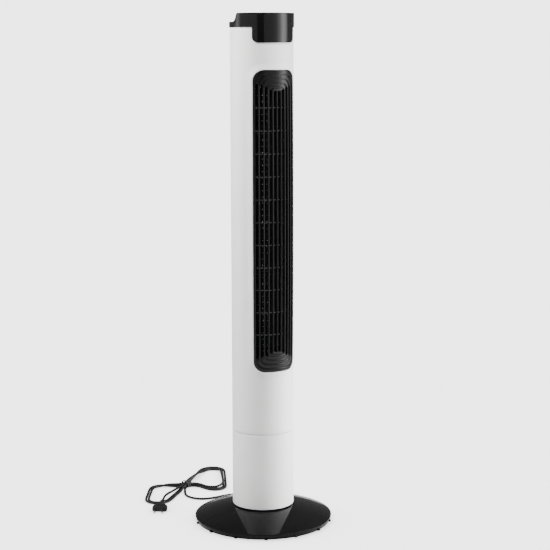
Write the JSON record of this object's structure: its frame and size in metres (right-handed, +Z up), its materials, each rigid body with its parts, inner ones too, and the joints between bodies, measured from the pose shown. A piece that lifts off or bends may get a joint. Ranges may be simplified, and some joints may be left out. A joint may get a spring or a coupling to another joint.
{
  "type": "tower fan",
  "caption": "Slim round column fan with a domed foot, an arched outlet grille, top push buttons, a motor-driven swing and a tied mains cord with a two-pin plug.",
  "frame": {"origin": "centre of the standing plane under the foot, on the column's axis", "axes": "+Z up along the column, -Y is the air outlet's side, +X is to the right of someone who faces the outlet"},
  "size_m": [0.3749, 0.5945, 1.17],
  "materials": {
    "gloss_black": "high gloss moulded ABS",
    "satin_white": "satin moulded ABS",
    "grille_black": "semi-gloss moulded ABS",
    "wire_black": "black coated steel wire",
    "inner_grey": "fine texture",
    "rubber": "matte",
    "cord_pvc": "satin PVC",
    "steel": "zinc plated",
    "pin_metal": "nickel plated brass",
    "acetal": "natural acetal",
    "circuit": "solder mask",
    "key_grey": "fine matte",
    "brass": "sintered bronze"
  },
  "bodies": {
    "base": {"base_front_half": "gloss_black", "base_rear_half": "gloss_black", "base_join_screws": "steel", "rubber_feet": "rubber", "base_ballast": "steel", "pivot_hub": "inner_grey", "pivot_screws": "steel", "slide_washer": "acetal", "spindle_clip": "steel", "swing_gear": "acetal", "cord_gland": "cord_pvc", "inner_lead": "cord_pvc", "mains_cord": "cord_pvc", "cord_hank": "cord_pvc", "cord_tie": "cord_pvc", "cord_tail": "cord_pvc", "plug_body": "cord_pvc", "plug_pins": "pin_metal"},
    "tower": {"lower_tube": "satin_white", "tower_floor": "inner_grey", "floor_screws": "steel", "tube_collar": "satin_white", "motor_bracket": "steel", "swing_motor": "steel", "power_board": "circuit", "front_shell": "satin_white", "rear_shell": "satin_white", "shell_screws": "steel", "front_grille": "grille_black", "grille_wires": "wire_black", "grip_cup": "satin_white", "lower_plate": "inner_grey", "upper_plate": "inner_grey", "scroll_duct": "inner_grey", "air_cutoff": "inner_grey", "fan_motor": "steel", "motor_screws": "steel", "bearing_holder": "rubber", "top_bush": "brass", "wiring_loom": "cord_pvc", "top_cap": "gloss_black", "button_inlay": "gloss_black", "control_board": "circuit", "tact_switches": "steel", "display_board": "circuit"},
    "pinion": {"swing_pinion": "acetal"},
    "rotor": {"impeller": "inner_grey", "motor_shaft": "steel", "top_pin": "steel"},
    "key_power": {"button_power": "key_grey"},
    "key_speed": {"button_speed": "key_grey"},
    "key_mode": {"button_mode": "key_grey"},
    "key_timer": {"button_timer": "key_grey"},
    "key_swing": {"button_swing": "key_grey"}
  },
  "joints": [
    {"name": "tower_swing", "type": "hinge", "parent": "base", "child": "tower", "pos_m": [0, 0, 0.05], "axis": [0, 0, 1], "range_deg": [-35, 35]},
    {"name": "pinion_turn", "type": "hinge", "parent": "tower", "child": "pinion", "pos_m": [0, 0.03312, 0.068], "axis": [0, 0, 1], "range_deg": [-95, 95]},
    {"name": "impeller_spin", "type": "hinge", "parent": "tower", "child": "rotor", "pos_m": [0, 0.008, 0.33], "axis": [0, 0, 1], "continuous": true},
    {"name": "power_press", "type": "slide", "parent": "tower", "child": "key_power", "axis": [0, 0, -1], "range_m": [0, 0.0012], "stiffness_N_per_m": 400, "springref_m": -0.0003},
    {"name": "speed_press", "type": "slide", "parent": "tower", "child": "key_speed", "axis": [0, 0, -1], "range_m": [0, 0.0012], "stiffness_N_per_m": 400, "springref_m": -0.0003},
    {"name": "mode_press", "type": "slide", "parent": "tower", "child": "key_mode", "axis": [0, 0, -1], "range_m": [0, 0.0012], "stiffness_N_per_m": 400, "springref_m": -0.0003},
    {"name": "timer_press", "type": "slide", "parent": "tower", "child": "key_timer", "axis": [0, 0, -1], "range_m": [0, 0.0012], "stiffness_N_per_m": 400, "springref_m": -0.0003},
    {"name": "swing_press", "type": "slide", "parent": "tower", "child": "key_swing", "axis": [0, 0, -1], "range_m": [0, 0.0012], "stiffness_N_per_m": 400, "springref_m": -0.0003}
  ],
  "couplings": [
    {"joint": "pinion_turn", "follows": "tower_swing", "ratio": 2.6667}
  ]
}
